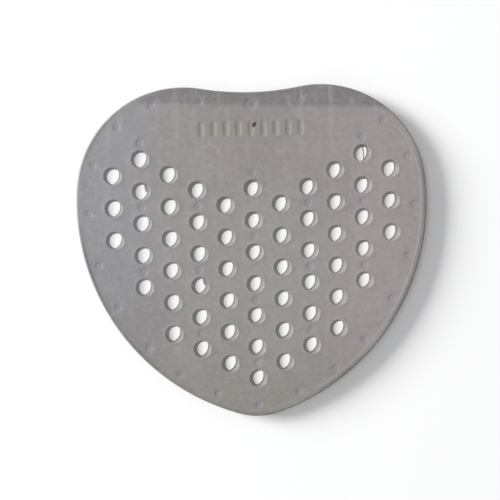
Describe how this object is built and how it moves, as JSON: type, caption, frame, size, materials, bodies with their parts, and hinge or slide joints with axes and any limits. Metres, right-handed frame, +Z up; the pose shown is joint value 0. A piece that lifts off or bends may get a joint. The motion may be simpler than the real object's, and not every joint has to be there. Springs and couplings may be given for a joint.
{
  "type": "urinal deodorizer screen",
  "caption": "Flat heart-shaped rubber mat on short pegs, pierced by a honeycomb of drain holes, that covers the drain of a urinal.",
  "frame": {"origin": "under the middle of the mat, on the plane of the peg feet", "axes": "+Z up through the sheet, +X across the mat, +Y towards the notch between the two lobes"},
  "size_m": [0.1754, 0.1662, 0.0085],
  "materials": {
    "grey_rubber": "smooth satin grey vinyl rubber, slightly cloudy"
  },
  "bodies": {
    "root": {"screen_mat": "grey_rubber"}
  },
  "joints": []
}
